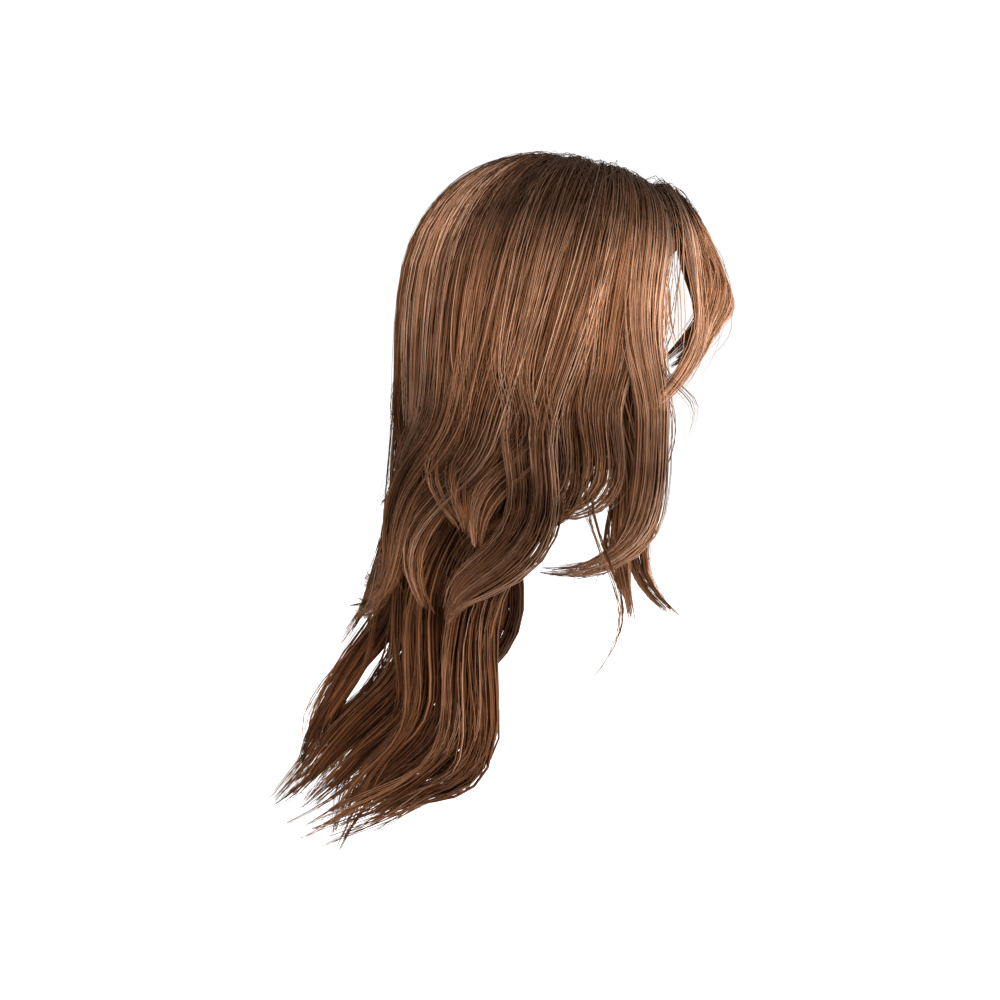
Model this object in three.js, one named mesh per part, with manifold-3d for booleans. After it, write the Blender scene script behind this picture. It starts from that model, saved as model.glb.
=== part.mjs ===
// Wig: long layered waves with a centre parting and a curtain fringe, in millimetres.
// The origin is the crown of the head inside the cap, +Z is up, the face looks to -Y and the
// wearer's right is -X.
import * as THREE from 'three';
import Module from 'manifold-3d';

const wasm = await Module();
wasm.setup();

// Head size that the cap is made for
const headBreadth = 148;
const headLength = 194;
const crownHeight = 100;

// Cap
const capWall = 1.5;
const capTurns = 24;
const capRings = 5;
const roomTurns = 36;
const roomRings = 20;

// Hair
const pieceGap = 0.4;
const hairStandOff = 2.0;
const partingHalf = 1.4;
const rootStagger = 2.2;
const riseEnd = 0.5;
const leaveStart = 0.9;
const crossSwing = 0.45;
const swingStart = 0.4;
const looseStart = 0.35;
const tipWidth = 0.25;
const tipThick = 0.3;

const netRoughness = 0.9;
const hairRoughness = 0.45;
const colours = {
  cap: 0x4a382d,
  under: 0x54392c,
  crown: 0x6d4a39,
  side: 0x7a5543,
  fringe: 0x835c47,
};

// Rim of the cap: how far below the crown it lies at each turn from the front, in degrees
const rimColumns = ['turn', 'drop'];
const rimTable = [
  [0, 46],
  [35, 50],
  [62, 84],
  [85, 106],
  [110, 112],
  [145, 128],
  [180, 136],
];

// Sections: the turns from the front that they reach over, and at the first and the last of those
// turns the root on the parting (part) or in a sewn row (weft, drop below the crown) and the drop at
// which a lock leaves the head. Then a lock's half fan in degrees for each millimetre of its width, the
// half spread of its roots along the parting, its lift off the cap, how far the section rises to lie
// over the layer beneath, the share of its lift at the roots, its thickness for its width, where along
// the fall it begins to taper, and its steps on the head and below it
const sectionColumns = [
  'section', 'turns', 'part', 'weft', 'leave', 'fan', 'spread', 'lift', 'rise', 'rootDepth', 'depth',
  'taper', 'headSteps', 'fallSteps',
];
const sectionTable = [
  ['fringe', [8, 24], [-72, -60], [0, 0], [52, 60], 0.24, 6, 15, 0, 1, 0.5, 0.5, 4, 5],
  ['side', [57, 120], [-42, -6], [0, 0], [88, 106], 0.32, 12, 16, 2, 0.5, 0.5, 0.65, 4, 7],
  ['crown', [130, 180], [-4, 2], [0, 0], [108, 108], 0.34, 6, 7.5, 5.5, 1.15, 0.35, 0.55, 4, 6],
  ['nape', [95, 180], [0, 0], [96, 108], [120, 134], 0.26, 0, 5, 0, 1, 0.6, 0.85, 2, 9],
];

// Waves: how far the locks of a section swing, their waves along the fall, and the step in degrees
// from the wave of one lock to that of the next
const waveColumns = ['section', 'swing', 'waves', 'step'];
const waveTable = [
  ['fringe', 2, 1, 90],
  ['side', 9, 1.5, 50],
  ['crown', 7, 1.5, 50],
  ['nape', 13, 2, 25],
];

// Falls: a lock's tip (out to its side, back, drop), the aim of the tip back from straight down, how
// far the upper (bow) and the lower (sweep) half of its fall is drawn to the back, and its width
const fallColumns = ['out', 'back', 'drop', 'aim', 'bow', 'sweep', 'width'];
const fringeRightFalls = [
  [45, -105, 105, 20, -10, -5, 30],
  [60, -65, 150, 45, -10, -15, 18],
  [80, -55, 165, 40, -15, -15, 12],
];
const fringeLeftFalls = [
  [45, -92, 130, 30, -12, -8, 24],
  [60, -75, 140, 45, -10, -15, 18],
  [75, -60, 145, 40, -15, -15, 12],
];
const sideRightFalls = [
  [75, 10, 260, 85, -45, -45, 26],
  [80, 10, 230, 75, -15, -10, 30],
  [80, 45, 245, 70, -5, -15, 34],
  [85, 60, 305, 60, -20, 35, 34],
  [90, 45, 245, 10, -15, -15, 34],
  [85, 80, 285, 35, -5, 60, 34],
  [85, 60, 240, -25, -15, -15, 34],
  [75, 125, 285, 50, 10, 10, 34],
];
const farLeftFalls = [
  [85, -95, 335, -35, -15, 20, 24],
  [85, -50, 335, 40, -5, 45, 24],
];
const crownHalfFalls = [
  [45, 130, 270, 60, 15, 0, 38],
  [35, 150, 305, 105, -15, 20, 38],
  [15, 125, 235, 40, 5, -15, 38],
];
const crownMiddleFall = [0, 165, 350, 40, -20, 5, 38];
const napeHalfFalls = [
  [45, 170, 475, 70, 60, -45, 42],
  [40, 180, 470, 65, 50, -40, 42],
  [35, 155, 475, 55, 40, 35, 42],
  [25, 195, 460, 65, 15, -15, 42],
  [15, 210, 455, 60, 15, -10, 42],
  [5, 190, 430, 25, 10, -10, 42],
];

// Hair on the left falls as on the right, but for its front locks and for a nape barer in front
const sideFrontLocks = 4;
const napeFrontLocks = 1;
const falls = {
  fringe_right: fringeRightFalls,
  fringe_left: fringeLeftFalls,
  side_right: sideRightFalls,
  side_left: [...farLeftFalls, ...sideRightFalls.slice(sideFrontLocks)],
  crown_back: [...crownHalfFalls, crownMiddleFall, ...crownHalfFalls.toReversed()],
  nape_lengths: [...napeHalfFalls, ...napeHalfFalls.slice(napeFrontLocks).toReversed()],
};

// Pieces of hair: their section, and the turns of the first and the last lock, round from the face by
// the wearer's right, so that turns over 180 degrees are on the left
const pieceColumns = ['piece', 'section', 'from', 'to'];
const pieceTable = [
  ['fringe_right', 'fringe', 8, 24],
  ['fringe_left', 'fringe', 352, 336],
  ['side_right', 'side', 57, 120],
  ['side_left', 'side', 300, 245],
  ['crown_back', 'crown', 130, 232],
  ['nape_lengths', 'nape', 95, 250],
];

const named = (columns, rows) => rows.map((row) => (
  Object.fromEntries(row.map((value, i) => [columns[i], value]))
));
const sections = Object.fromEntries(named(sectionColumns, sectionTable).map((row) => [row.section, row]));
const waves = Object.fromEntries(named(waveColumns, waveTable).map((row) => [row.section, row]));
const rim = named(rimColumns, rimTable);

const headAxes = new THREE.Vector3(headBreadth / 2, headLength / 2, crownHeight);
const headCentre = new THREE.Vector3(0, 0, -crownHeight);
const radians = THREE.MathUtils.degToRad;
const hairFloor = capWall + hairStandOff;

// The locks of a piece, spread evenly between its turns
function locksOf({ piece, section: name, from, to }) {
  const section = sections[name];
  const [first, last] = section.turns;
  return named(fallColumns, falls[piece]).map((fall, i, all) => {
    const round = from + ((to - from) * i) / (all.length - 1);
    const side = round > 180 ? 1 : -1;
    const turn = Math.min(round, 360 - round);
    const at = ([a, b]) => a + ((b - a) * (turn - first)) / (last - first);
    const { part, weft, leave } = section;
    const wave = { ...waves[name], phase: radians(waves[name].step * i) };
    return { ...fall, section, wave, side, turn, part: at(part), weft: at(weft), leave: at(leave) };
  });
}

const locks = Object.fromEntries(named(pieceColumns, pieceTable).map((row) => [row.piece, locksOf(row)]));

function smooth(t) {
  const x = Math.min(1, Math.max(0, t));
  return x * x * (3 - 2 * x);
}

// Direction from the centre of the head at a turn from the front and a drop below the crown
function direction(side, turn, drop) {
  const rise = (crownHeight - drop) / crownHeight;
  const round = Math.sqrt(Math.max(0, 1 - rise * rise));
  const angle = radians(turn);
  return new THREE.Vector3(side * round * Math.sin(angle), -round * Math.cos(angle), rise);
}

// Direction of a root beside the parting, the further off the more its lock turns to the back
function partingRoot(side, part, turn) {
  const y = part / headAxes.y;
  const x = side * ((partingHalf + rootStagger * turn / 180) / headAxes.x);
  return new THREE.Vector3(x, y, Math.sqrt(1 - x * x - y * y));
}

function between(a, b, t) {
  const angle = Math.acos(THREE.MathUtils.clamp(a.dot(b), -1, 1));
  const from = a.clone().multiplyScalar(Math.sin((1 - t) * angle) / Math.sin(angle));
  return from.addScaledVector(b, Math.sin(t * angle) / Math.sin(angle));
}

function onHead(unit, offset) {
  const normal = unit.clone().divide(headAxes).normalize();
  return unit.clone().multiply(headAxes).add(headCentre).addScaledVector(normal, offset);
}

// Closed solid from a row of rings of the same count of points
function ringSolid(rings) {
  const count = rings[0].length;
  const points = rings.flat();
  const first = points.length;
  const middle = (ring) => ring.reduce((sum, p) => sum.add(p), new THREE.Vector3()).divideScalar(count);
  points.push(middle(rings[0]), middle(rings[rings.length - 1]));
  const faces = [];
  for (let r = 0; r + 1 < rings.length; r += 1) {
    for (let k = 0; k < count; k += 1) {
      const a = r * count + k;
      const b = r * count + ((k + 1) % count);
      faces.push([a, b, b + count], [a, b + count, a + count]);
    }
  }
  const last = (rings.length - 1) * count;
  for (let k = 0; k < count; k += 1) {
    const next = (k + 1) % count;
    faces.push([first, next, k], [first + 1, last + k, last + next]);
  }
  return solidOf(points, faces);
}

// Solid with its faces turned outwards
function solidOf(points, faces) {
  const volume = faces.reduce((sum, [a, b, c]) => {
    const normal = points[b].clone().cross(points[c]);
    return sum + points[a].dot(normal);
  }, 0);
  const turned = volume < 0 ? faces.map(([a, b, c]) => [a, c, b]) : faces;
  return new wasm.Manifold(new wasm.Mesh({
    numProp: 3,
    vertProperties: new Float32Array(points.flatMap((p) => p.toArray())),
    triVerts: new Uint32Array(turned.flat()),
  }));
}

// A lock: where its hairs run for each place across (u) and through (v) it, from -1 to 1
function lockPath(row) {
  const { section } = row;
  const dome = (u, v, t) => {
    const turn = row.turn + u * section.fan * row.width;
    const root = row.weft > 0
      ? direction(row.side, turn, row.weft)
      : partingRoot(row.side, row.part + u * section.spread, row.turn);
    const unit = between(root, direction(row.side, turn, row.leave), t);
    const ease = smooth(t);
    const share = section.rootDepth + (1 - section.rootDepth) * ease;
    const floor = hairFloor + section.rise * smooth(t / riseEnd);
    return onHead(unit, floor + ((v + 1) / 2) * section.lift * share);
  };
  const leave = dome(0, 0, 1);
  const start = leave.clone().sub(dome(0, 0, leaveStart)).normalize();
  const tip = new THREE.Vector3(row.side * row.out, row.back, -row.drop);
  const end = new THREE.Vector3(0, Math.sin(radians(row.aim)), -Math.cos(radians(row.aim)));
  const handle = leave.distanceTo(tip) / 3;
  const curve = new THREE.CubicBezierCurve3(
    leave,
    leave.clone().addScaledVector(start, handle),
    tip.clone().addScaledVector(end, -handle),
    tip,
  );
  const drawnBack = (s) => {
    const upper = row.bow * (1 - s) * smooth(s / looseStart);
    return 3 * s * (1 - s) * (upper + row.sweep * s);
  };
  const fall = (u, v, s) => {
    const core = curve.getPoint(s);
    core.y += drawnBack(s);
    const out = new THREE.Vector3(core.x, core.y, 0).normalize();
    const across = out.clone().cross(curve.getTangent(s)).normalize();
    const angle = 2 * Math.PI * row.wave.waves * s + row.wave.phase;
    const swing = row.wave.swing * smooth(s / swingStart);
    core.addScaledVector(across, swing * Math.sin(angle));
    core.addScaledVector(out, swing * crossSwing * Math.cos(angle));
    const loose = smooth(s / looseStart);
    const taper = smooth((s - section.taper) / (1 - section.taper));
    const half = (row.width / 2) * (1 - (1 - tipWidth) * taper);
    const deep = ((row.width * section.depth) / 2) * (1 - (1 - tipThick) * taper);
    const held = dome(u, v, 1).sub(leave).multiplyScalar(1 - loose);
    return core.add(held)
      .addScaledVector(across, loose * row.side * u * half)
      .addScaledVector(out, loose * v * deep);
  };
  return { dome, fall };
}

const lens = [[-1, -0.2], [-0.55, 0.85], [0.55, 0.85], [1, -0.2], [0, -1]];

function lockSolid(row, grow = 0) {
  const path = lockPath(row);
  const { headSteps, fallSteps } = row.section;
  const rings = [];
  for (let i = 0; i <= headSteps; i += 1) {
    rings.push(lens.map(([u, v]) => path.dome(u, v, i / headSteps)));
  }
  for (let i = 1; i <= fallSteps; i += 1) {
    rings.push(lens.map(([u, v]) => path.fall(u, v, i / fallSteps)));
  }
  if (grow > 0) {
    growRings(rings, grow);
  }
  return ringSolid(rings);
}

// Every ring moved out from its middle, and both ends moved on
function growRings(rings, grow) {
  const middles = rings.map((ring) => (
    ring.reduce((sum, p) => sum.add(p), new THREE.Vector3()).divideScalar(ring.length)
  ));
  rings.forEach((ring, i) => ring.forEach((p) => {
    p.addScaledVector(p.clone().sub(middles[i]).normalize(), grow);
  }));
  const last = rings.length - 1;
  const shifts = [
    [0, middles[0].clone().sub(middles[1])],
    [last, middles[last].clone().sub(middles[last - 1])],
  ];
  shifts.forEach(([i, way]) => rings[i].forEach((p) => p.addScaledVector(way.normalize(), grow)));
}

// Hollow wall over the head, open below, cut off along the rim
function rimDrop(turn) {
  const folded = turn > 180 ? 360 - turn : turn;
  const upper = rim.findIndex((row, i) => i > 0 && folded <= row.turn);
  const a = rim[upper - 1];
  const b = rim[upper];
  return a.drop + (b.drop - a.drop) * smooth((folded - a.turn) / (b.turn - a.turn));
}

function capSolid() {
  const points = [];
  const faces = [];
  const wallPoint = (turn, share, offset) => {
    const low = Math.acos((crownHeight - rimDrop(turn)) / crownHeight);
    return onHead(direction(1, turn, crownHeight * (1 - Math.cos(low * share))), offset);
  };
  for (const offset of [0, capWall]) {
    points.push(onHead(new THREE.Vector3(0, 0, 1), offset));
    for (let r = 1; r <= capRings; r += 1) {
      for (let k = 0; k < capTurns; k += 1) {
        points.push(wallPoint((360 * k) / capTurns, r / capRings, offset));
      }
    }
  }
  const skin = 1 + capRings * capTurns;
  const at = (layer, r, k) => layer * skin + (r === 0 ? 0 : 1 + (r - 1) * capTurns + (k % capTurns));
  for (let k = 0; k < capTurns; k += 1) {
    faces.push([at(1, 0, 0), at(1, 1, k), at(1, 1, k + 1)], [at(0, 0, 0), at(0, 1, k + 1), at(0, 1, k)]);
    for (let r = 1; r < capRings; r += 1) {
      const outer = [at(1, r, k), at(1, r + 1, k), at(1, r + 1, k + 1), at(1, r, k + 1)];
      const inner = [at(0, r, k), at(0, r, k + 1), at(0, r + 1, k + 1), at(0, r + 1, k)];
      for (const [a, b, c, d] of [outer, inner]) {
        faces.push([a, b, c], [a, c, d]);
      }
    }
    const [a, b] = [at(1, capRings, k), at(1, capRings, k + 1)];
    const [c, d] = [at(0, capRings, k + 1), at(0, capRings, k)];
    faces.push([a, d, c], [a, c, b]);
  }
  return solidOf(points, faces);
}

// Room kept clear for the head and the cap
function headRoom() {
  const sphere = new THREE.SphereGeometry(1, roomTurns, roomRings);
  const position = sphere.getAttribute('position');
  const rings = [];
  for (let r = 1; r < roomRings; r += 1) {
    const ring = [];
    for (let k = 0; k < roomTurns; k += 1) {
      const unit = new THREE.Vector3().fromBufferAttribute(position, r * (roomTurns + 1) + k);
      ring.push(onHead(new THREE.Vector3(unit.x, unit.z, unit.y), capWall + pieceGap));
    }
    rings.push(ring);
  }
  return ringSolid(rings);
}

function largestBody(solid) {
  return solid.decompose().sort((a, b) => b.volume() - a.volume())[0];
}

const joined = (piece, grow = 0) => locks[piece]
  .map((row) => lockSolid(row, grow))
  .reduce((sum, solid) => sum.add(solid));

const room = headRoom();

// A piece of hair: its locks joined, less the head and the pieces that lie against it
function hairPiece(piece, others) {
  const kept = others.reduce((sum, other) => sum.add(joined(other, pieceGap)), room);
  return largestBody(joined(piece).subtract(kept));
}

// Pieces in order, with their colour and what they lie against
const makeColumns = ['piece', 'colour', 'others'];
const makeTable = [
  ['nape_lengths', colours.under, []],
  ['fringe_right', colours.fringe, []],
  ['fringe_left', colours.fringe, []],
  ['side_right', colours.side, ['nape_lengths', 'fringe_right']],
  ['side_left', colours.side, ['nape_lengths', 'fringe_left']],
  ['crown_back', colours.crown, ['nape_lengths', 'side_right', 'side_left']],
];

function meshOf(name, solid, colour, roughness) {
  const mesh = solid.getMesh();
  const geometry = new THREE.BufferGeometry();
  geometry.setAttribute('position', new THREE.BufferAttribute(new Float32Array(mesh.vertProperties), 3));
  geometry.setIndex(new THREE.BufferAttribute(new Uint32Array(mesh.triVerts), 1));
  geometry.computeVertexNormals();
  const material = new THREE.MeshStandardMaterial({ color: colour, roughness, metalness: 0 });
  const part = new THREE.Mesh(geometry, material);
  part.name = name;
  return part;
}

const wig = new THREE.Group();
wig.name = 'wig';
wig.add(meshOf('cap', capSolid(), colours.cap, netRoughness));
for (const { piece, colour, others } of named(makeColumns, makeTable)) {
  wig.add(meshOf(piece, hairPiece(piece, others), colour, hairRoughness));
}

export default wig;
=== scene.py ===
# %% [markdown]
# # A long wavy wig with a curtain fringe
# A wig is a thin net cap with thousands of hairs sewn to it in rows. The solids of model.glb already hold
# the cap and the main locks as closed shapes. Here the cap gets its net and hem, and each section of locks
# is drawn hair by hair.

import math

import bpy
import numpy as np
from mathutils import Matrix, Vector


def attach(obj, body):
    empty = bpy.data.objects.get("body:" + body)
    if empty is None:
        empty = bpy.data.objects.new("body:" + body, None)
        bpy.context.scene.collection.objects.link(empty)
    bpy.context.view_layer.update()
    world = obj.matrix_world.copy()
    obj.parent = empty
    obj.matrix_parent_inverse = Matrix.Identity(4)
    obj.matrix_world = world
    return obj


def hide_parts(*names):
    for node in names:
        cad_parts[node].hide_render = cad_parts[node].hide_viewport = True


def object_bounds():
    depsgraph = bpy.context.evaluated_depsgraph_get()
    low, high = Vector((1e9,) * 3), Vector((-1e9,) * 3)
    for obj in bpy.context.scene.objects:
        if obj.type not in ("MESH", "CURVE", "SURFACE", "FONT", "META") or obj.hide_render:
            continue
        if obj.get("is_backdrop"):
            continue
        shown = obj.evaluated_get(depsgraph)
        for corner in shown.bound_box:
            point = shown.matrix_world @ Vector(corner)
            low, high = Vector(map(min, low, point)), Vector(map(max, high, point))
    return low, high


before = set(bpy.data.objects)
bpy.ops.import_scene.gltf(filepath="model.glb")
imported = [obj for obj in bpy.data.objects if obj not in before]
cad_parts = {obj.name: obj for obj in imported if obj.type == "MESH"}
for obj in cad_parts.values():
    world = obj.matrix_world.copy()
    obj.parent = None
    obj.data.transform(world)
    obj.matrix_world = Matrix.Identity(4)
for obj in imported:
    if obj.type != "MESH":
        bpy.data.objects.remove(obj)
cad_low, cad_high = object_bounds()
bpy.ops.object.select_all(action="DESELECT")
print("solids span", [round(high - low, 3) for low, high in zip(cad_low, cad_high)], "m")

# %% [markdown]
# ## The camera
# The picture is taken from the wearer's right, a little to the front and a little above. Instead of
# turning a camera until it looks right, its place is worked out: the middle of the cap's form has to fall
# on a chosen spot of a square picture, at a chosen distance.

# %% Camera
PICTURE = 1000
LENS = 50
SENSOR = 36
AZIMUTH = math.radians(278)
ELEVATION = math.radians(10)
DISTANCE = 0.958
CAP_CENTRE = Vector((0, 0, -0.1))
CAP_SPOT = (557, 317)

back = Vector((
    math.sin(AZIMUTH) * math.cos(ELEVATION),
    -math.cos(AZIMUTH) * math.cos(ELEVATION),
    math.sin(ELEVATION),
))
right = (-back).cross(Vector((0, 0, 1))).normalized()
up = right.cross(-back)
focal = PICTURE * LENS / SENSOR
across_spot = (CAP_SPOT[0] - PICTURE / 2) / focal
above_spot = (PICTURE / 2 - CAP_SPOT[1]) / focal

bpy.ops.object.camera_add()
camera = bpy.context.object
camera.name = "camera"
camera.data.lens = LENS
camera.data.sensor_width = SENSOR
camera.rotation_mode = "QUATERNION"
camera.rotation_quaternion = (-back).to_track_quat("-Z", "Y")
camera.location = CAP_CENTRE - DISTANCE * (across_spot * right + above_spot * up - back)
bpy.context.scene.camera = camera
print("camera at", [round(value, 3) for value in camera.location])

# %% [markdown]
# ## The form that everything follows
# A cap is made to an egg shape, and every hair that lies on it follows the same shape. A place on it is a
# direction from its middle: a turn from the front, and a drop below the crown. All lengths are millimetres
# until a mesh is made.

# %% Cap form
MM = 0.001
CAP_AXES = np.array([74.0, 97.0, 100.0])
CROWN = 100.0
CAP_MIDDLE = np.array([0, 0, -CROWN])


def smooth(t):
    t = np.clip(t, 0, 1)
    return t * t * (3 - 2 * t)


def unit(p):
    return p / np.linalg.norm(p, axis=-1, keepdims=True)


def direction(side, turn, drop):
    rise = (CROWN - drop) / CROWN
    level = np.sqrt(np.maximum(0, 1 - rise * rise))
    turn = np.radians(turn)
    return np.stack(np.broadcast_arrays(side * level * np.sin(turn), -level * np.cos(turn), rise), -1)


def on_cap(way, offset):
    normal = unit(way / CAP_AXES)
    return way * CAP_AXES + CAP_MIDDLE + np.asarray(offset)[..., None] * normal


print("cap", 2 * CAP_AXES[0], "mm broad,", 2 * CAP_AXES[1], "mm long inside")

# %% [markdown]
# ## The cap
# The base is a stretch net with a sewn hem. It could be cut from the solid, but a ball gives rounder
# faces: it is squeezed to the egg shape, cut off along the slant from the front to the nape, given its
# thickness by Solidify, and hemmed with a thin cord run along the cut edge.

# %% Cap shell
CAP_SEGMENTS = 72
CAP_RINGS = 48
RIM_FRONT = (-88.0, -46.0)
RIM_BACK = (90.0, -136.0)

bpy.ops.mesh.primitive_uv_sphere_add(
    segments=CAP_SEGMENTS, ring_count=CAP_RINGS, radius=1, rotation=(math.pi / 2, 0, 0),
)
cap = bpy.context.object
cap.name = "cap_net"
bpy.ops.object.transform_apply(location=False, rotation=True, scale=False)
bpy.ops.object.mode_set(mode="EDIT")
bpy.ops.mesh.select_all(action="SELECT")
bpy.ops.transform.resize(value=tuple(CAP_AXES * MM))
bpy.ops.transform.translate(value=tuple(CAP_MIDDLE * MM))
rim_run = RIM_BACK[0] - RIM_FRONT[0]
rim_fall = RIM_FRONT[1] - RIM_BACK[1]
bpy.ops.mesh.bisect(
    plane_co=(0, RIM_FRONT[0] * MM, RIM_FRONT[1] * MM),
    plane_no=(0, -rim_fall, -rim_run),
    clear_outer=True,
)
bpy.ops.object.mode_set(mode="OBJECT")
print("cap shell", len(cap.data.polygons), "faces")

# %% Cap hem
HEM = 1.1
HEM_ROUNDNESS = 3

bpy.ops.object.mode_set(mode="EDIT")
bpy.ops.mesh.select_mode(type="EDGE")
bpy.ops.mesh.select_all(action="DESELECT")
bpy.ops.mesh.select_non_manifold()
bpy.ops.mesh.duplicate()
bpy.ops.mesh.separate(type="SELECTED")
bpy.ops.object.mode_set(mode="OBJECT")
hem = next(piece for piece in bpy.context.selected_objects if piece is not cap)
bpy.ops.object.select_all(action="DESELECT")
hem.select_set(True)
bpy.context.view_layer.objects.active = hem
bpy.ops.object.convert(target="CURVE")
hem.data.bevel_depth = HEM * MM
hem.data.bevel_resolution = HEM_ROUNDNESS
bpy.ops.object.convert(target="MESH")
hem = bpy.context.object
print("hem", 2 * HEM, "mm thick,", len(hem.data.polygons), "faces")

# %% Cap wall
CAP_WALL = 1.5
SHARP = math.radians(40)

bpy.ops.object.select_all(action="DESELECT")
cap.select_set(True)
bpy.context.view_layer.objects.active = cap
wall = cap.modifiers.new("wall", "SOLIDIFY")
wall.thickness = CAP_WALL * MM
wall.offset = 1
bpy.ops.object.modifier_apply(modifier="wall")
hem.select_set(True)
bpy.ops.object.join()
bpy.ops.object.shade_smooth_by_angle(angle=SHARP)
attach(cap, "root")
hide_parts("cap")
print("cap", len(cap.data.polygons), "faces, wall", CAP_WALL, "mm")

# %% [markdown]
# ## What the locks of a section share
# A lock starts at the parting, or in a sewn row low on the cap, lies over the cap to where it leaves it,
# and then falls to its tip in a wave. Two tables hold what the locks of a section share. The first gives
# the places where they start and leave, and how they fan, lift and taper. The second gives their looks:
# how far and how often they swing and the step from one lock's wave to the next, the shortest reach, how
# coarse the hairs are, how broad, gathered and curled the wisps are, how well the bend is eased, and where
# a hair starts on the ramp of dark roots and painted shade and how much of that ramp the fall takes. The
# nape's hair starts deep in the painted shade, and the fringe's fall takes little of it.

# %% Sections
SECTION_COLUMNS = (
    "turns", "part", "weft", "leave", "fan", "spread", "lift", "rise", "root_depth", "depth", "taper",
)
SECTION_ROWS = {
    "fringe": ((8, 24), (-72, -60), (0, 0), (52, 60), 0.24, 6, 15, 0, 1, 0.5, 0.5),
    "side": ((57, 120), (-42, -6), (0, 0), (88, 106), 0.32, 12, 16, 2, 0.5, 0.5, 0.65),
    "crown": ((130, 180), (-4, 2), (0, 0), (108, 108), 0.34, 6, 7, 5.5, 1.1, 0.35, 0.55),
    "nape": ((95, 180), (0, 0), (96, 108), (120, 134), 0.26, 0, 5, 0, 1, 0.6, 0.85),
}
LOOK_COLUMNS = (
    "swing", "waves", "step", "shortest", "coarse", "wisp", "gather", "curl", "ease", "start", "shade",
)
# The start and shade columns set how much painted shade at mid length a section's hair gets.
LOOK_ROWS = {
    "fringe": (2, 1, 90, 0.8, 1, 3.6, 0.6, 0.01, 1, 0, 0.15),
    "side": (9, 1.5, 50, 0.92, 1, 3.6, 0.6, 0.08, 6, 0, 1),
    "crown": (7, 1.5, 50, 0.8, 1, 3.6, 0.5, 0.12, 6, 0.15, 1),
    "nape": (13, 2, 25, 0.88, 1.3, 5, 0.55, 0.13, 6, 0.6, 1),
}
SECTIONS = {
    name: {**dict(zip(SECTION_COLUMNS, SECTION_ROWS[name])), **dict(zip(LOOK_COLUMNS, LOOK_ROWS[name]))}
    for name in SECTION_ROWS
}
print(len(SECTIONS), "sections")

# %% [markdown]
# ## How each lock falls
# A real wig is cut in layers, so each lock has a length and a bend of its own. A row says where the tip is,
# out to the side, back and down, the angle at which it ends, how far the fall bows above and sweeps below,
# and how wide the lock is. The back is the same on both sides, so its rows are mirrored.

# %% Falls
FALL_COLUMNS = ("out", "back", "drop", "aim", "bow", "sweep", "width")
FRINGE_RIGHT = (
    (45, -98, 110, 50, -8, 0, 30),
    (60, -65, 150, 45, -10, -15, 18),
    (80, -55, 165, 40, -15, -15, 12),
)
FRINGE_LEFT = (
    (45, -92, 130, 30, -12, -8, 24),
    (60, -75, 140, 45, -10, -15, 18),
    (75, -60, 145, 40, -15, -15, 12),
)
SIDE_RIGHT = (
    (75, 10, 260, 85, -45, -45, 26),
    (80, 10, 230, 75, -15, -10, 30),
    (80, 45, 245, 70, -5, -15, 34),
    (85, 60, 305, 60, -20, 35, 34),
    (90, 45, 245, 10, -15, -15, 34),
    (85, 80, 285, 35, -5, 60, 34),
    (85, 60, 240, -25, -15, -15, 34),
    (75, 125, 285, 50, 10, 10, 34),
)
FAR_LEFT = (
    (85, -95, 335, -35, -15, 20, 24),
    (85, -50, 335, 40, -5, 45, 24),
)
CROWN_HALF = (
    (45, 130, 270, 60, 15, 0, 38),
    (35, 150, 305, 105, -15, 20, 38),
    (15, 125, 235, 40, 5, -15, 38),
)
CROWN_MIDDLE = (0, 165, 350, 40, -20, 5, 38)
NAPE_HALF = (
    (45, 170, 475, 70, 60, -45, 42),
    (40, 180, 470, 65, 50, -40, 42),
    (35, 155, 475, 55, 40, 35, 42),
    (25, 195, 460, 65, 15, -15, 42),
    (15, 210, 455, 60, 15, -10, 42),
    (5, 190, 430, 25, 10, -10, 42),
)
SIDE_FRONT = 4
NAPE_FRONT = 1
SIDE_LEFT = FAR_LEFT + SIDE_RIGHT[SIDE_FRONT:]
CROWN_BACK = CROWN_HALF + (CROWN_MIDDLE,) + CROWN_HALF[::-1]
NAPE_LENGTHS = NAPE_HALF + NAPE_HALF[NAPE_FRONT:][::-1]
print(len(SIDE_RIGHT), "locks on the right,", len(NAPE_LENGTHS), "long ones at the nape")

# %% Locks
HALF_TURN = 180


def lock(kind, place, fall, number=0):
    """A lock at a place round the cap: turns from the front by the right, and over 180 on the left."""
    section = SECTIONS[kind]
    turn = min(place, 2 * HALF_TURN - place)
    first, last = section["turns"]
    share = (turn - first) / (last - first)
    row = {**section, **dict(zip(FALL_COLUMNS, fall))}
    for name in ("part", "weft", "leave"):
        a, b = section[name]
        row[name] = a + (b - a) * share
    row["turn"] = turn
    row["side"] = 1 if place > HALF_TURN else -1
    row["phase"] = math.radians(section["step"] * number)
    row["thick"] = row["width"] * row["depth"]
    return row


print("first lock", lock("side", 57, SIDE_RIGHT[0]))

# %% [markdown]
# ## Paths over the cap
# Hair that is sewn in lies on the cap before it falls. Across a lock a hair's place is u, from edge to
# edge, and through it v, from the net outwards. A path could be drawn by hand, but an arc from the root to
# where the lock leaves the cap, lifted by its depth, serves every hair.

# %% Over the cap
HAIR_STAND_OFF = 2.0
PARTING_HALF = 1.4
ROOT_STAGGER = 2.2
RISE_END = 0.5


def parting_root(side, part, turn):
    y = part / CAP_AXES[1]
    x = side * (PARTING_HALF + ROOT_STAGGER * turn / HALF_TURN) / CAP_AXES[0] + 0 * y
    return np.stack([x, y, np.sqrt(1 - x * x - y * y)], -1)


def between(a, b, t):
    angle = np.arccos(np.clip((a * b).sum(-1, keepdims=True), -1, 1))
    t = t[..., None]
    return (np.sin((1 - t) * angle) * a + np.sin(t * angle) * b) / np.sin(angle)


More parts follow.
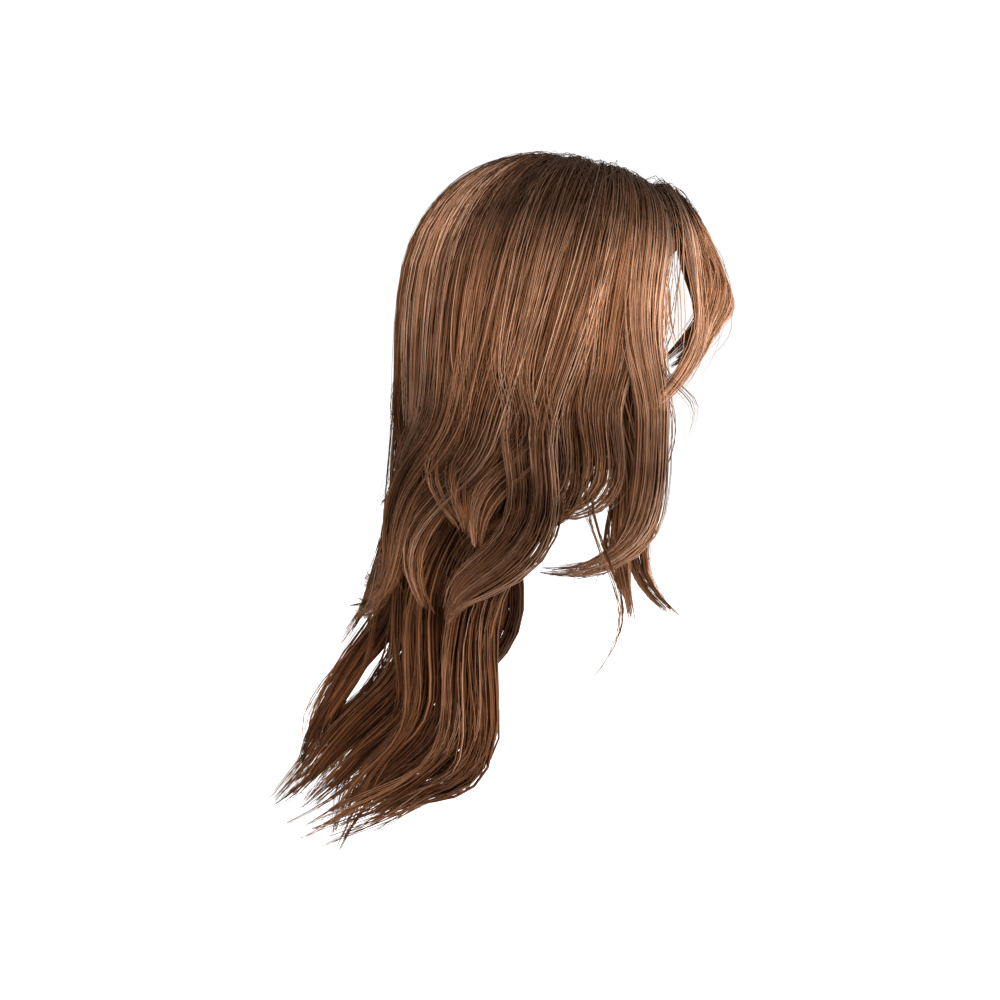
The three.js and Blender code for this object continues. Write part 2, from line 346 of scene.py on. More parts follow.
def over_cap(row, u, v, t, sink):
    """Points on the cap, for arrays of u, v and t of one shape; sink draws the roots down to the net."""
    turn = row["turn"] + u * row["fan"] * row["width"]
    if row["weft"]:
        root = direction(row["side"], turn, row["weft"])
    else:
        root = parting_root(row["side"], row["part"] + u * row["spread"], row["turn"])
    way = between(root, direction(row["side"], turn, row["leave"]), t)
    share = row["root_depth"] + (1 - row["root_depth"]) * smooth(t)
    rise = row["rise"] * smooth(t / RISE_END)
    depth = HAIR_STAND_OFF + rise + (v + 1) / 2 * row["lift"] * share
    return on_cap(way, CAP_WALL + depth * sink)


print("hairs lie", HAIR_STAND_OFF, "mm or more off the net")

# %% [markdown]
# ## Paths below the cap
# Below the cap a lock hangs free. One smooth curve runs from where it leaves the cap to its tip, bowed and
# swept by its row, and the section's wave is laid on it. The hairs keep the order that they had on the cap,
# and draw together towards the tip.

# %% The fall's curve
LEAVE_START = 0.9
BOW_START = 0.55


def fall_curve(row, middle, s):
    """The curve of a lock from the middle of where it leaves the cap to its tip, and its slope."""
    one = np.ones(1)
    before = over_cap(row, 0 * one, 0 * one, LEAVE_START * one, one)[0]
    start = unit(middle - before)
    tip = np.array([row["side"] * row["out"], row["back"], -row["drop"]])
    aim = math.radians(row["aim"])
    end = np.array([0, math.sin(aim), -math.cos(aim)])
    handle = np.linalg.norm(tip - middle) / 3
    a, b, c, d = middle, middle + start * handle, tip - end * handle, tip
    s1 = s[..., None]
    r1 = 1 - s1
    curve = r1**3 * a + 3 * r1**2 * s1 * b + 3 * r1 * s1**2 * c + s1**3 * d
    slope = r1**2 * (b - a) + 2 * r1 * s1 * (c - b) + s1**2 * (d - c)
    upper = row["bow"] * (1 - s) * smooth(s / BOW_START)
    curve[..., 1] += 3 * s * (1 - s) * (upper + row["sweep"] * s)
    return curve, slope


print("falls bow fully from", BOW_START, "of their length on")

# %% The fall's hairs
CROSS_SWING = 0.45
SWING_START = 0.4
LOOSE_START = 0.35
TIP_WIDTH = 0.25
TIP_THICK = 0.3
LEVEL = np.array([1, 1, 0])


def falling(row, u, v, s):
    """Points below the cap, for arrays of one shape, with the wave of the lock on its curve."""
    one = np.ones(1)
    middle = over_cap(row, 0 * one, 0 * one, one, one)[0]
    curve, slope = fall_curve(row, middle, s)
    out = unit(curve * LEVEL)
    across = unit(np.cross(out, unit(slope)))
    angle = (2 * np.pi * row["waves"] * s + row["phase"])[..., None]
    swing = row["swing"] * smooth(s / SWING_START)[..., None]
    loose = smooth(s / LOOSE_START)
    taper = smooth((s - row["taper"]) / (1 - row["taper"]))
    half = row["width"] / 2 * (1 - (1 - TIP_WIDTH) * taper)
    deep = row["thick"] / 2 * (1 - (1 - TIP_THICK) * taper)
    held = over_cap(row, u, v, np.ones_like(s), np.ones_like(s)) - middle
    points = curve + swing * (np.sin(angle) * across + CROSS_SWING * np.cos(angle) * out)
    points = points + held * (1 - loose)[..., None]
    points = points + across * (loose * row["side"] * u * half)[..., None]
    return points + out * (loose * v * deep)[..., None], across, out


print("tips close up to", TIP_WIDTH, "of a lock's width")

# %% [markdown]
# ## Wisps
# Hairs are not spread evenly in a lock. They gather in wisps that start broad and close up towards their
# tips, each with a little wave, a tone and a length of its own. The random numbers are seeded, so the wig
# comes out the same each time.

# %% Wisps
rng = np.random.default_rng(11)
FEWEST_WISPS = 2
WISP_LAYERS = 2
WISP_EDGE = 0.96
WISP_SCATTER = 0.05
WISP_DEPTH = 0.95
WISP_TONE = (-0.06, 0.09)
WISP_WAVE = 140.0
WAVE_SPREAD = (0.85, 1.15)
WAVE_GROWTH = 0.8
SWING_SPREAD = 0.025
PHASE_SPREAD = 0.35
LIGHT_SHARE = 0.24
LIGHTER = 0.16


def wisps_of(row):
    """The wisps of a lock: place across and through it, length, tone, and a wave of their own."""
    count = max(FEWEST_WISPS, int(WISP_LAYERS * row["width"] / row["wisp"]))
    light = rng.random(count) < LIGHT_SHARE
    fall = row["drop"] - row["leave"]
    together = rng.uniform(0, 2 * np.pi, 2)
    places = np.linspace(-WISP_EDGE, WISP_EDGE, count)
    return {
        "u": places[rng.permutation(count)] + rng.normal(0, WISP_SCATTER, count),
        "v": rng.uniform(-WISP_DEPTH, WISP_DEPTH, count),
        "reach": rng.uniform(row["shortest"], 1.0, count),
        "tone": rng.normal(*WISP_TONE, count) + LIGHTER * light,
        "swing": rng.normal(row["curl"], SWING_SPREAD, (count, 2)) * row["width"],
        "turns": fall / WISP_WAVE * rng.uniform(*WAVE_SPREAD, (count, 2)),
        "phase": together + rng.normal(0, PHASE_SPREAD, (count, 2)),
    }


def own_wave(wisp, way, share, s):
    """A wisp's wave one way, which starts from nothing at the top of the fall and grows towards the tip."""
    wave = np.sin(2 * np.pi * wisp["turns"][:, way, None] * s + wisp["phase"][:, way, None])
    return (share * wisp["swing"][:, way, None] * wave * smooth(s / WAVE_GROWTH))[..., None]


print("wisps wave every", WISP_WAVE, "mm or so")

# %% [markdown]
# ## What sets a hair apart
# Each hair belongs to a wisp, and lies a little beside it. A few hairs stray: they lie outside, slant more
# and gather less. A few thick strands in the middle of a wide lock keep it from being seen through, and are
# given a dark tone as painted shade inside the lock. Hairs deep in a lock are painted darker and outer ones
# lighter: painted shade, as if the outer hair shaded the inner.

# %% Hair traits
STRAY_SHARE = 0.1
STRAY_DEPTH = (0.4, 0.9)
STRAY_SLANT = 0.8
STRAY_GATHER = 0.2
HAIR_SLANT = 0.06
ACROSS_SPREAD = 0.16
ACROSS_EDGE = 1.05
DEPTH_SPREAD = 0.35
GATHER_SPREAD = (0.6, 1.1)
REACH_SPREAD = 0.025
TONE_SPREAD = 0.11
# Painted shade: hairs deep in a lock are darker, and outer ones lighter.
PAINTED_SHADE_BY_DEPTH = 0.2
FULL_LOCK = 17
# The thick strands in the middle of a wide lock are dark: painted shade inside the lock.
CORE_SHARE = 0.08
CORE_ACROSS = 0.7
CORE_DEPTH = -0.3
CORE_REACH = 0.86
CORE_PAINTED_SHADE_TONE = 0.2


def hair_traits(row, count):
    """The wisp, place, slant, gathering, reach and tone of each hair of a lock."""
    wisps = wisps_of(row)
    mine = rng.integers(0, len(wisps["u"]), count)
    wisp = {name: value[mine] for name, value in wisps.items()}
    stray = rng.random(count) < STRAY_SHARE
    core = np.arange(count) < CORE_SHARE * count * (row["width"] > FULL_LOCK)
    u = np.clip(wisp["u"] + rng.normal(0, ACROSS_SPREAD, count), -ACROSS_EDGE, ACROSS_EDGE)
    v = np.clip(wisp["v"] + rng.normal(0, DEPTH_SPREAD, count), -1, 1)
    v = np.where(stray, rng.uniform(*STRAY_DEPTH, count), v)
    stray = stray & ~core
    u = np.where(core, CORE_ACROSS * u, u)
    v = np.where(core, CORE_DEPTH, v)
    slant = np.where(stray, rng.normal(0, STRAY_SLANT, count), rng.normal(0, HAIR_SLANT, count))
    gather = row["gather"] * rng.uniform(*GATHER_SPREAD, count) * np.where(stray, STRAY_GATHER, 1)
    shorter = np.abs(rng.normal(0, REACH_SPREAD, count))
    reach = wisp["reach"] * (1 - shorter) * np.where(core, CORE_REACH, 1)
    # Hairs deep in the lock get a darker tone and outer ones a lighter one: painted shade inside the lock.
    tone = row["tone"] + wisp["tone"] + rng.normal(0, TONE_SPREAD, count) + PAINTED_SHADE_BY_DEPTH * v
    # The middle strands take one dark tone, painted shade inside the lock.
    tone = np.where(core, CORE_PAINTED_SHADE_TONE, np.clip(tone, 0, 1))
    return {
        "wisp": wisp, "stray": stray, "core": core, "u": u, "v": v,
        "slant": slant, "gather": gather, "reach": reach, "tone": tone,
    }


print("one hair in", round(1 / STRAY_SHARE), "strays")

# %% [markdown]
# ## The hairs of a lock
# A hair's two stretches, on the cap and below it, are joined and the bend between them is rounded. Roots
# rise from the net within a short way. A slow drift keeps neighbours from running side by side all the way.

# %% Hairs on the cap
ROOT_RISE = 0.16
ROOT_HEIGHT = 0.3
ROOT_LAYER = 0.2
INNER_ROOTS = 0.2
OUTER_ROOTS = 0.12
CAP_UNEVEN = (1.1, 1.5)
SLANT_MIDDLE = 0.5


def root_sink(t):
    """How far a hair has risen from the net, a short way from its root."""
    return ROOT_HEIGHT + (1 - ROOT_HEIGHT) * smooth(t / ROOT_RISE)


def hairs_on_cap(row, hair, points):
    """The stretch of each hair on the cap, how far along it the points are, and where it ends across."""
    count = len(hair["u"])
    inner = hair["v"] < ROOT_LAYER
    first = np.where(inner, rng.uniform(0, INNER_ROOTS, count), rng.uniform(0, OUTER_ROOTS, count))
    first = first[:, None]
    uneven = rng.uniform(*CAP_UNEVEN, count)[:, None]
    t = first + (1 - first) * np.linspace(0, 1, points)[None] ** uneven
    u = hair["u"][:, None] + hair["slant"][:, None] * (t - SLANT_MIDDLE)
    path = over_cap(row, u, hair["v"][:, None] + 0 * t, t, root_sink(t - first))
    return path, t, u[:, -1:]


print("roots start over", INNER_ROOTS, "of the way from the parting")

# %% Hairs below the cap
FALL_UNEVEN = (0.85, 1.15)
GATHER_SPEED = 1.1
OUT_WAVE = 0.6


def hairs_below(row, hair, leave_u, points):
    """The stretch of each hair that falls free, gathered into its wisp, and how far along it points are."""
    wisp = hair["wisp"]
    uneven = rng.uniform(*FALL_UNEVEN, len(hair["u"]))[:, None]
    s = hair["reach"][:, None] * np.linspace(0, 1, points + 1)[None, 1:] ** uneven
    close = hair["gather"][:, None] * smooth(s * GATHER_SPEED)
    u = leave_u + (wisp["u"][:, None] - leave_u) * close
    v = hair["v"][:, None] + (wisp["v"] - hair["v"])[:, None] * close
    path, across, out = falling(row, u, v, s)
    path = path + across * own_wave(wisp, 0, 1, s)
    path = path + out * own_wave(wisp, 1, OUT_WAVE, s)
    return path, s


print("wisps wave outwards", OUT_WAVE, "as much as across")

# %% Whole hairs
EASE_REACH = 2.5
HELD = 0.35
STRAY_WANDER = (1.0, 3.5)
HAIR_WANDER = (0.2, 0.8)
WANDER_TURNS = (0.7, 2.2)
WANDER_GROWTH = 1.6
INNER_DEPTH = 0.0
HAIR_WIDTH = (0.45, 0.8)
STRAY_WIDTH = (0.28, 0.42)
INNER_WIDTH = (1.1, 1.9)
CORE_WIDTH = 0.1


def eased(path, leave, rounds):
    """The same paths, with the bend rounded where the hairs leave the cap."""
    near = np.exp(-(((np.arange(path.shape[1]) - leave) / EASE_REACH) ** 2))[None, 1:-1, None]
    for turn in range(rounds):
        middle = (path[:, :-2] + path[:, 2:]) / 2
        path[:, 1:-1] += near * (middle - path[:, 1:-1]) / 2
    return path


def drift(hair, along):
    """A slow drift of each hair's own, largest for strays."""
    count = len(along)
    size = np.where(hair["stray"], rng.uniform(*STRAY_WANDER, count), rng.uniform(*HAIR_WANDER, count))
    turns = rng.uniform(*WANDER_TURNS, (count, 3, 1))
    phase = rng.uniform(0, 2 * np.pi, (count, 3, 1))
    waves = np.sin(2 * np.pi * turns * along[:, None] + phase) - np.sin(phase)
    return size[:, None, None] * smooth(along * WANDER_GROWTH)[..., None] * waves.transpose(0, 2, 1)


def hair_widths(row, hair):
    """Fine hairs outside, thicker ones inside, thin strays, and the thick strands of the middle."""
    count = len(hair["v"])
    inner = (hair["v"] < INNER_DEPTH) & ~hair["stray"] & (row["width"] > FULL_LOCK)
    width = rng.uniform(*HAIR_WIDTH, count) * row["coarse"]
    width = np.where(inner, rng.uniform(*INNER_WIDTH, count) * row["coarse"], width)
    width = np.where(hair["stray"], rng.uniform(*STRAY_WIDTH, count), width)
    return np.where(hair["core"], CORE_WIDTH * row["width"], width)


def lock_hairs(row, count, cap_points, fall_points):
    """Centre lines of the hairs of one lock, how far along each point is, and their tone and width."""
    hair = hair_traits(row, count)
    lying, t, leave_u = hairs_on_cap(row, hair, cap_points)
    hanging, s = hairs_below(row, hair, leave_u, fall_points)
    # How far along a point is picks its place on the ramp of dark roots and painted shade.
    along = np.concatenate([HELD * t, HELD + row["shade"] * (1 - HELD) * s], 1)
    along = row["start"] + (1 - row["start"]) * along
    path = eased(np.concatenate([lying, hanging], 1), cap_points, row["ease"])
    path = path + drift(hair, along)
    return path, along, hair["tone"], hair_widths(row, hair)


print("hairs", HAIR_WIDTH, "mm wide, stray ones", STRAY_WIDTH)

# %% [markdown]
# ## Flyaways
# Beside the parting short hairs come loose and cross the others. Each is a short stretch of a path over the
# cap that slants far more than the rest, and is bent a little.

# %% Flyaways
FLY_START = 0.2
FLY_LENGTH = (0.2, 0.5)
FLY_SLANT = 3.5
FLY_DEPTH = (0.8, 1.05)
FLY_BEND = 1.0
FLY_TONE = (0.75, 0.15)
FLY_ALONG = 0.12


def flyaways(row, count, points):
    """Short loose hairs that cross the others beside the parting."""
    fine = np.linspace(0, 1, points)[None]
    first = rng.uniform(0, FLY_START, count)[:, None]
    t = first + rng.uniform(*FLY_LENGTH, count)[:, None] * fine
    u = rng.uniform(-1, 1, count)[:, None] + rng.normal(0, FLY_SLANT, count)[:, None] * (t - first)
    v = rng.uniform(*FLY_DEPTH, count)[:, None] + 0 * t
    path = over_cap(row, u, v, t, root_sink(t))
    bend = rng.normal(0, FLY_BEND, (count, 1, 3)) * np.sin(np.pi * fine)[..., None]
    tone = np.clip(rng.normal(*FLY_TONE, count), 0, 1)
    return path + bend, FLY_ALONG + 0 * t, tone, rng.uniform(*STRAY_WIDTH, count)


print("flyaways take", FLY_LENGTH, "of the way over the cap")

# %% [markdown]
# ## From hairs to a mesh
# A hair could be a curve with a bevel, but thousands of curves are slow. Three-sided tubes, closed at both
# ends, are made together as one mesh per section. Each hair keeps its tone and its length as attributes
# for the material, and lies in a cell of its own in the UV map.

# %% Tubes
TUBE_SIDES = 3
CLEARANCE = 0.3
DEEPEST = 0.05
OUTWARD_LIFT = np.array([0, 0, 20.0])
TIP_START = 0.85
TIP_THINNER = 0.75
ROOT_END = 0.1
ROOT_SHARE = 0.6


def keep_off_cap(path):
    """Points pushed out of the cap."""
    reach = CAP_AXES + CAP_WALL + CLEARANCE
    inside = np.linalg.norm((path - CAP_MIDDLE) / reach, axis=-1, keepdims=True)
    return np.where(inside < 1, (path - CAP_MIDDLE) / np.maximum(inside, DEEPEST) + CAP_MIDDLE, path)


def hair_radius(width, points):
    """A hair is a little thinner at its root and comes to a fine tip."""
    fine = np.linspace(0, 1, points)[None]
    tip = 1 - TIP_THINNER * smooth((fine - TIP_START) / (1 - TIP_START))
    root = ROOT_SHARE + (1 - ROOT_SHARE) * smooth(fine / ROOT_END)
    return width[:, None] / 2 * tip * root


def tube_points(path, radius):
    tangent = unit(np.gradient(path, axis=1))
    first = unit(np.cross(tangent, path * LEVEL + OUTWARD_LIFT))
    second = np.cross(tangent, first)
    rings = []
    for side in range(TUBE_SIDES):
        angle = 2 * np.pi * side / TUBE_SIDES
        rings.append(path + radius[..., None] * (math.cos(angle) * first + math.sin(angle) * second))
    return np.stack(rings, 2)


def tube_faces(count, points):
    ring = np.arange(TUBE_SIDES)
    step = np.arange(points - 1)[:, None] * TUBE_SIDES
    a = step + ring
    b = step + (ring + 1) % TUBE_SIDES
    quads = np.stack([a, b, b + TUBE_SIDES, a + TUBE_SIDES], -1).reshape(-1, 4)
    ends = np.array([[2, 1, 0], [0, 1, 2]]) + np.array([[0], [(points - 1) * TUBE_SIDES]])
    start = np.arange(count)[:, None, None] * points * TUBE_SIDES
    return (quads + start).reshape(-1, 4), (ends + start).reshape(-1, 3)


print("tubes with", TUBE_SIDES, "sides")

# %% UV cells
CELL_MARGIN = 0.03
END_TALL = 0.03


def in_cells(local, corner, scale):
    """Places within a cell, with its margin, set into every hair's own cell."""
    inner = local * (1 - 2 * CELL_MARGIN) + CELL_MARGIN
    return ((inner[None] + corner[:, None, None]) * scale).reshape(-1, 2)


def cell_map(count, points):
    """UV corners of the quads and the ends: each hair in its cell, sides in columns, length upwards."""
    columns = int(math.ceil(math.sqrt(2 * count)))
    rows = int(math.ceil(count / columns))
    hair = np.arange(count)
    corner = np.stack([hair % columns, hair // columns], -1)
    scale = np.array([1 / columns, 1 / rows])
    width = 1 / TUBE_SIDES
    tall = 1 / (points - 1)
    left = np.broadcast_to(np.arange(TUBE_SIDES) * width, (points - 1, TUBE_SIDES))
    low = np.broadcast_to(np.arange(points - 1)[:, None] * tall, left.shape)
    quad = np.stack([
        np.stack([left, low], -1),
        np.stack([left + width, low], -1),
        np.stack([left + width, low + tall], -1),
        np.stack([left, low + tall], -1),
    ], 2).reshape(-1, 4, 2)
    end = np.array([
        [[0, 0], [1, 0], [0.5, END_TALL]],
        [[0, 1], [1, 1], [0.5, 1 - END_TALL]],
    ])
    return in_cells(quad, corner, scale), in_cells(end, corner, scale)


print("cells with a margin of", CELL_MARGIN)

# %% Hair mesh
def hair_mesh(name, path, along, tone, width):
    count, points = along.shape
    corners = tube_points(keep_off_cap(path), hair_radius(width, points)) * MM
    quads, ends = tube_faces(count, points)
    quad_uv, end_uv = cell_map(count, points)
    mesh = bpy.data.meshes.new(name)
    mesh.vertices.add(count * points * TUBE_SIDES)
    mesh.vertices.foreach_set("co", corners.astype(np.float32).ravel())
    mesh.loops.add(quads.size + ends.size)
    corner_numbers = np.concatenate([quads.ravel(), ends.ravel()])
    mesh.loops.foreach_set("vertex_index", corner_numbers.astype(np.int32))
    mesh.polygons.add(len(quads) + len(ends))
    starts = np.concatenate([np.arange(len(quads)) * 4, quads.size + np.arange(len(ends)) * TUBE_SIDES])
    mesh.polygons.foreach_set("loop_start", starts.astype(np.int32))
    mesh.polygons.foreach_set("use_smooth", np.ones(len(starts), dtype=bool))
    uv = mesh.uv_layers.new(name="OFBake")
    uv.data.foreach_set("uv", np.concatenate([quad_uv, end_uv]).astype(np.float32).ravel())
    tones = np.repeat(tone, points * TUBE_SIDES)
    places = np.repeat(along.ravel(), TUBE_SIDES)
    for attribute, values in (("tone", tones), ("along", places)):
        layer = mesh.attributes.new(attribute, "FLOAT", "POINT")
        layer.data.foreach_set("value", values.astype(np.float32))
    mesh.update(calc_edges=True)
    mesh.validate()
    piece = bpy.data.objects.new(name, mesh)
    bpy.context.collection.objects.link(piece)
    return piece


print("hairs carry their tone and how far along they are")

# %% [markdown]
# ## The hair's colour
# The fibre is dyed in many shades of chestnut, with dark roots. A colour ramp turns each hair's tone into
# its shade. A second ramp along the hair darkens it at the root, for the dyed dark roots, and again at mid
# length, with painted shade where other hair would shade it. Large soft patches in object space break up
# what is left. The shine is the shader's own: round hairs already draw it out into bands.

# %% Ramps
def fill_ramp(ramp, stops):
    for at, colour in stops[1:-1]:
        ramp.elements.new(at)
    for element, (at, colour) in zip(ramp.elements, stops):
        element.position = at
        element.color = (*colour, 1)


def ramp_of(tree, value, stops):
    """The colour that a ramp gives for a value."""
    ramp = tree.nodes.new("ShaderNodeValToRGB")
    fill_ramp(ramp.color_ramp, stops)
    tree.links.new(value, ramp.inputs["Fac"])
    return ramp.outputs["Color"]


def greys(stops):
    return [(at, (value,) * 3) for at, value in stops]


print("ramps ready")

# %% Hair material
TONES = (
    (0.0, (0.030, 0.010, 0.004)),
    (0.3, (0.095, 0.034, 0.013)),
    (0.55, (0.200, 0.080, 0.034)),
    (0.8, (0.350, 0.175, 0.100)),
    (1.0, (0.500, 0.295, 0.195)),
)
# Along the hair: dark dyed roots, then painted shade at mid length, and lighter again towards the tips.
ROOT_DYE_AND_PAINTED_SHADE = (
    (0.0, 0.10),
    (0.12, 0.11),
    (0.2, 0.23),
    (0.28, 0.75),
    (0.35, 1.0),
    (0.45, 0.85),
    (0.68, 0.27),
    (1.0, 0.95),
)
PATCHES = ((0.35, 0.7), (0.65, 1.0))
PATCH_SCALE = 45
FIBRE_ROUGHNESS = 0.5
FIBRE_SHINE = 0.03


def attribute_of(tree, name):
    node = tree.nodes.new("ShaderNodeAttribute")
    node.attribute_name = name
    return node.outputs["Fac"]


def times(tree, first, second):
    node = tree.nodes.new("ShaderNodeVectorMath")
    node.operation = "MULTIPLY"
    tree.links.new(first, node.inputs[0])
    tree.links.new(second, node.inputs[1])
    return node.outputs["Vector"]


def hair_material(name):
    material = bpy.data.materials.new(name)
    material.use_nodes = True
    tree = material.node_tree
    shader = tree.nodes["Principled BSDF"]
    shader.inputs["Roughness"].default_value = FIBRE_ROUGHNESS
    shader.inputs["Specular IOR Level"].default_value = FIBRE_SHINE
    shade = ramp_of(tree, attribute_of(tree, "tone"), TONES)
    # This ramp along the hair gives the dyed dark roots and the painted shade at mid length.
    roots = ramp_of(tree, attribute_of(tree, "along"), greys(ROOT_DYE_AND_PAINTED_SHADE))
    place = tree.nodes.new("ShaderNodeTexCoord")
    noise = tree.nodes.new("ShaderNodeTexNoise")
    noise.inputs["Scale"].default_value = PATCH_SCALE
    tree.links.new(place.outputs["Object"], noise.inputs["Vector"])
    patches = ramp_of(tree, noise.outputs["Fac"], greys(PATCHES))
    dye_and_painted_shade = times(tree, times(tree, shade, roots), patches)
    tree.links.new(dye_and_painted_shade, shader.inputs["Base Color"])
    return material


print(len(TONES), "shades from dark chestnut to light")

# %% [markdown]
# ## The sections of hair
# Each section of the solids gets one mesh of hairs, which stands for it. A row of the plan gives its first
# and last place round the cap, its slot, its hairs for each millimetre of a lock's width, the points of a
# hair on the cap and below it, and a shift in tone. Loose wisps are added to a section with their own fall.
# Longer locks get a lighter tone, and the tone runs from lighter at the front to darker at the back.

# %% Plan
PLAN = (
    ("nape_lengths", "nape", 95, 250, NAPE_LENGTHS, "hair_under", 2.7, 3, 21, -0.05),
    ("crown_back", "crown", 130, 232, CROWN_BACK, "hair_crown", 5.1, 10, 13, 0.1),
    ("side_right", "side", 57, 120, SIDE_RIGHT, "hair_side", 4.6, 10, 14, 0.1),
    ("side_left", "side", 300, 245, SIDE_LEFT, "hair_side", 6.0, 10, 14, 0.1),
    ("fringe_right", "fringe", 8, 24, FRINGE_RIGHT, "hair_fringe", 11, 9, 11, 0.01),
    ("fringe_left", "fringe", 352, 336, FRINGE_LEFT, "hair_fringe", 8, 9, 11, 0),
)
LOOSE = (
    ("side_right", 60, 57, 0.04, (75, 10, 260, 85, -45, -45, 16)),
    ("side_right", 12, 65, -0.2, (70, -24, 350, -18, 20, -80, 4)),
    ("side_right", 4, 70, 0.1, (74, -10, 285, 65, 15, 5, 4)),
    ("side_right", 5, 44, 0, (72, -95, 175, -10, 0, 0, 4)),
    ("side_left", 5, 316, 0, (78, -65, 275, 15, 0, 0, 4)),
    ("crown_back", 8, 150, -0.1, (20, 135, 250, 70, 10, -10, 5)),
    ("fringe_right", 10, 39, 0.1, (74, -85, 125, 10, 0, 0, 16)),
    ("fringe_right", 110, 12, 0, (52, -88, 126, 32, -12, -10, 24)),
    ("nape_lengths", 70, 95, 0, (45, 170, 475, 70, 60, -45, 42)),
    ("nape_lengths", 16, 163, 0, (12, 170, 425, 15, 0, 0, 8)),
)
MIDDLE_TONE = 0.46
LONG_LIGHTER = 0.07
LONG_STEP = 50
FRONT_LIGHTER = 0.1


def section_rows(node, kind, first, last, falls, dense, shift):
    """The locks of a section and then its loose wisps, each with its number of hairs and its tone."""
    rows = []
    for number, fall in enumerate(falls):
        place = first + (last - first) * number / (len(falls) - 1)
        row = lock(kind, place, fall, number)
        rows.append({**row, "hairs": int(dense * row["width"]), "shift": shift})
    for piece, hairs, place, lighter, fall in LOOSE:
        if piece == node:
            rows.append({**lock(kind, place, fall), "hairs": hairs, "shift": shift + lighter})
    middle = np.mean([row["drop"] for row in rows])
    for row in rows:
        longer = LONG_LIGHTER * (row["drop"] - middle) / LONG_STEP
        front = FRONT_LIGHTER * math.cos(math.radians(row["turn"]))
        row["tone"] = MIDDLE_TONE + row["shift"] + longer + front
    return rows


print(len(PLAN), "sections,", len(LOOSE), "loose wisps")

# %% Make the sections
FLYAWAYS = 12
triangles = 0
for node, kind, first, last, falls, slot, dense, cap_points, fall_points, shift in PLAN:
    rows = section_rows(node, kind, first, last, falls, dense, shift)
    made = [lock_hairs(row, row["hairs"], cap_points, fall_points) for row in rows]
    if kind != "nape":
        made += [flyaways(row, FLYAWAYS, cap_points + fall_points) for row in rows[:len(falls)]]
    path, along, tone, width = [np.concatenate(part) for part in zip(*made)]
    piece = hair_mesh(node + "_hairs", path, along, tone, width)
    piece.data.materials.append(hair_material(node + "_fibre"))
    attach(piece, "root")
    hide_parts(node)
    piece.data.calc_loop_triangles()
    triangles += len(piece.data.loop_triangles)
    print(node, len(path), "hairs,", len(piece.data.loop_triangles), "triangles")
print(triangles, "triangles of hair")

# %% [markdown]
# ## The cap's net
# Stretch net is a fine mesh of dark thread. Two crossed wave patterns in object space make its threads,
# and drive a bump as well as the colour.

# %% Net material
NET_SCALE = 220
NET_TURN = 0.6
NET_LEAN = 0.3
NET_SHADES = ((0.2, (0.018, 0.012, 0.009)), (0.9, (0.085, 0.055, 0.040)))
NET_ROUGHNESS = 0.85
NET_BUMP = 0.4
NET_DEPTH = 0.0004


def net_threads(tree, place, turn):
    """One way of the net's threads, turned by an angle."""
    mapping = tree.nodes.new("ShaderNodeMapping")
    mapping.inputs["Rotation"].default_value = (turn, NET_LEAN, turn)
    wave = tree.nodes.new("ShaderNodeTexWave")
    wave.inputs["Scale"].default_value = NET_SCALE
    tree.links.new(place.outputs["Object"], mapping.inputs["Vector"])
    tree.links.new(mapping.outputs["Vector"], wave.inputs["Vector"])
    return wave.outputs["Fac"]


def net_material():
    net = bpy.data.materials.new("cap_stretch_net")
    net.use_nodes = True
    tree = net.node_tree
    shader = tree.nodes["Principled BSDF"]
    shader.inputs["Roughness"].default_value = NET_ROUGHNESS
    place = tree.nodes.new("ShaderNodeTexCoord")
    weave = tree.nodes.new("ShaderNodeMath")
    weave.operation = "MAXIMUM"
    tree.links.new(net_threads(tree, place, NET_TURN), weave.inputs[0])
    tree.links.new(net_threads(tree, place, -NET_TURN), weave.inputs[1])
    tree.links.new(ramp_of(tree, weave.outputs[0], NET_SHADES), shader.inputs["Base Color"])
    bump = tree.nodes.new("ShaderNodeBump")
    bump.inputs["Strength"].default_value = NET_BUMP
    bump.inputs["Distance"].default_value = NET_DEPTH
    tree.links.new(weave.outputs[0], bump.inputs["Height"])
    tree.links.new(bump.outputs["Normal"], shader.inputs["Normal"])
    return net


cap.data.materials.clear()
cap.data.materials.append(net_material())
print("net threads at scale", NET_SCALE)

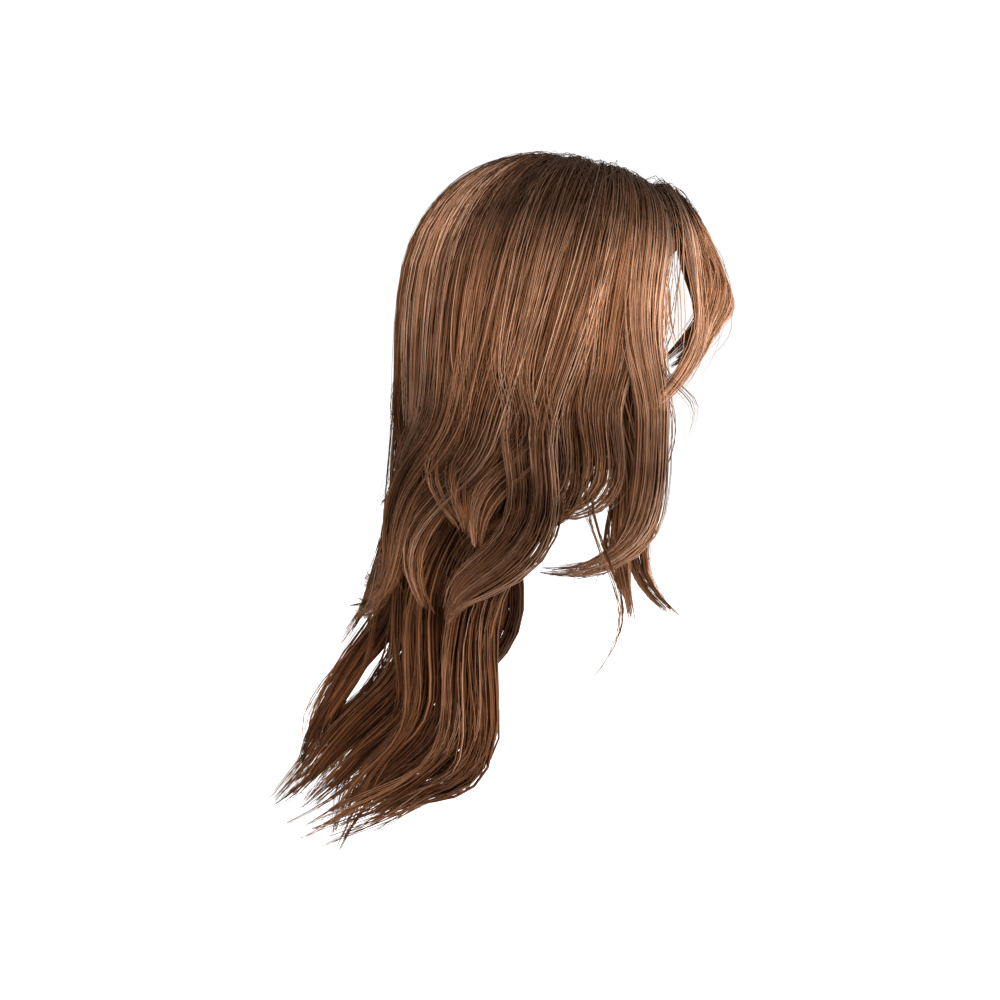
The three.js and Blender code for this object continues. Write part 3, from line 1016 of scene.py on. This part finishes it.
# %% [markdown]
# ## Floor, light and sky
# The stage is plain: a wide pale floor under the lowest tips, an even white sky, and large soft lamps so
# that the hair gets broad highlights and no hard shadow.

# %% Floor and sky
FLOOR_SIZE = 30
FLOOR_DROP = 0.05
FLOOR_COLOUR = (0.97, 0.97, 0.97, 1)
FLOOR_ROUGHNESS = 0.9
SKY_COLOUR = (1, 1, 1, 1)
SKY_STRENGTH = 1.05

bpy.ops.mesh.primitive_plane_add(size=FLOOR_SIZE, location=(0, 0, cad_low[2] - FLOOR_DROP))
floor = bpy.context.object
floor.name = "floor"
pale = bpy.data.materials.new("pale_floor")
pale.use_nodes = True
paint = pale.node_tree.nodes["Principled BSDF"]
paint.inputs["Base Color"].default_value = FLOOR_COLOUR
paint.inputs["Roughness"].default_value = FLOOR_ROUGHNESS
floor.data.materials.append(pale)
floor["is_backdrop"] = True

sky = bpy.data.worlds.new("sky")
bpy.context.scene.world = sky
sky.use_nodes = True
sky.node_tree.nodes["Background"].inputs["Color"].default_value = SKY_COLOUR
sky.node_tree.nodes["Background"].inputs["Strength"].default_value = SKY_STRENGTH
bpy.context.scene.view_settings.view_transform = "Standard"
print("floor at", round(cad_low[2] - FLOOR_DROP, 3), "m")

# %% Lamps
LAMP_SIZE = 0.9
LAMPS = (
    ("key", (-1.3, -0.9, 0.6), 60),
    ("back", (0.3, 1.2, 1.0), 14),
    ("front", (-0.4, -1.5, 0.5), 20),
)
for name, place, power in LAMPS:
    bpy.ops.object.light_add(type="AREA", location=place)
    lamp = bpy.context.object
    lamp.name = name
    lamp.data.size = LAMP_SIZE
    lamp.data.energy = power
    lamp.rotation_euler = (CAP_CENTRE - lamp.location).to_track_quat("-Z", "Y").to_euler()
print(len(LAMPS), "lamps")

# %% [markdown]
# ## Sizes
# Hairs may stand a little outside the solids that they replace, but not far. So the span of the solids and
# that of the finished model are both measured, and the difference is printed.

# %% Sizes
low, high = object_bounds()
grown_low = [round((a - b) / MM, 1) for a, b in zip(cad_low, low)]
grown_high = [round((b - a) / MM, 1) for a, b in zip(cad_high, high)]
print("visual grows by", grown_low, grown_high, "mm")
